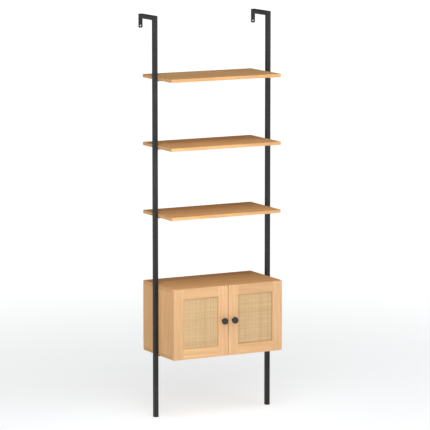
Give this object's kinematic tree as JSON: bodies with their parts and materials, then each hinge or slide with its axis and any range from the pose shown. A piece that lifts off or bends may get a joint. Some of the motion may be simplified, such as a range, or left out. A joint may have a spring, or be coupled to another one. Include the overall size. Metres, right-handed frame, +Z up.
{
  "type": "ladder shelf",
  "caption": "Narrow wall-fixed ladder shelf: square black steel uprights with wall arms, open wooden boards and a two-door cabinet with woven cane panels.",
  "frame": {"origin": "middle of the bounding box's footprint, on the floor", "axes": "+X to the right seen from the front, +Y towards the wall, +Z up"},
  "size_m": [0.6, 0.326, 1.835],
  "materials": {
    "black_steel": "matt black powder coat",
    "black_plastic": "matt",
    "stop_rubber": "matt",
    "magnet": "ground",
    "knob_metal": "satin black",
    "cane": "natural woven cane",
    "back_board": "thin veneered board",
    "dowel_wood": "plain beech",
    "black_screws": "black",
    "zinc_steel": "zinc plated",
    "hinge_steel": "nickel plated",
    "oak": "satin lacquered oak"
  },
  "bodies": {
    "carcass": {"cabinet_back": "back_board", "cabinet_base_screws": "black_screws", "cabinet_bottom": "oak", "cabinet_cam_bolts": "zinc_steel", "cabinet_cam_locks": "zinc_steel", "cabinet_dowels": "dowel_wood", "cabinet_left_side": "oak", "cabinet_right_side": "oak", "cabinet_side_bolts": "black_screws", "cabinet_top": "oak", "catch_housing": "black_plastic", "catch_magnets": "magnet", "catch_screws": "hinge_steel", "door_stops": "stop_rubber", "left_door_hinge_arms": "hinge_steel", "left_door_hinge_plate_screws": "hinge_steel", "left_door_hinge_plates": "hinge_steel", "left_foot_cap": "black_plastic", "left_post": "black_steel", "left_rivet_nuts": "zinc_steel", "left_support_tabs": "black_steel", "left_wall_arm": "black_steel", "left_wall_tab": "black_steel", "lower_shelf": "oak", "middle_shelf": "oak", "right_door_hinge_arms": "hinge_steel", "right_door_hinge_plate_screws": "hinge_steel", "right_door_hinge_plates": "hinge_steel", "right_foot_cap": "black_plastic", "right_post": "black_steel", "right_rivet_nuts": "zinc_steel", "right_support_tabs": "black_steel", "right_wall_arm": "black_steel", "right_wall_tab": "black_steel", "shelf_screws": "black_screws", "top_shelf": "oak"},
    "left_hinge_links": {"left_door_hinge_links": "hinge_steel"},
    "left_door": {"left_door_hinge_stile": "oak", "left_door_lock_stile": "oak", "left_door_top_rail": "oak", "left_door_bottom_rail": "oak", "left_door_cane_panel": "cane", "left_door_cane_beads": "oak", "left_door_knob": "knob_metal", "left_door_knob_screw": "hinge_steel", "left_door_strike_plate": "hinge_steel", "left_door_hinge_cups": "hinge_steel", "left_door_hinge_cup_screws": "hinge_steel"},
    "right_hinge_links": {"right_door_hinge_links": "hinge_steel"},
    "right_door": {"right_door_hinge_stile": "oak", "right_door_lock_stile": "oak", "right_door_top_rail": "oak", "right_door_bottom_rail": "oak", "right_door_cane_panel": "cane", "right_door_cane_beads": "oak", "right_door_knob": "knob_metal", "right_door_knob_screw": "hinge_steel", "right_door_strike_plate": "hinge_steel", "right_door_hinge_cups": "hinge_steel", "right_door_hinge_cup_screws": "hinge_steel"}
  },
  "joints": [
    {"name": "left_hinge_link_swing", "type": "hinge", "parent": "carcass", "child": "left_hinge_links", "pos_m": [-0.249, -0.132, 0.45], "axis": [0, 0, 1], "range_deg": [0, 38.02]},
    {"name": "left_door_swing", "type": "hinge", "parent": "left_hinge_links", "child": "left_door", "pos_m": [-0.2695, -0.129, 0.45], "axis": [0, 0, -1], "range_deg": [0, 133]},
    {"name": "right_hinge_link_swing", "type": "hinge", "parent": "carcass", "child": "right_hinge_links", "pos_m": [0.249, -0.132, 0.45], "axis": [0, 0, -1], "range_deg": [0, 38.02]},
    {"name": "right_door_swing", "type": "hinge", "parent": "right_hinge_links", "child": "right_door", "pos_m": [0.2695, -0.129, 0.45], "axis": [0, 0, 1], "range_deg": [0, 133]}
  ],
  "couplings": [
    {"joint": "left_hinge_link_swing", "follows": "left_door_swing", "ratio": 0.28571},
    {"joint": "right_hinge_link_swing", "follows": "right_door_swing", "ratio": 0.28571}
  ]
}
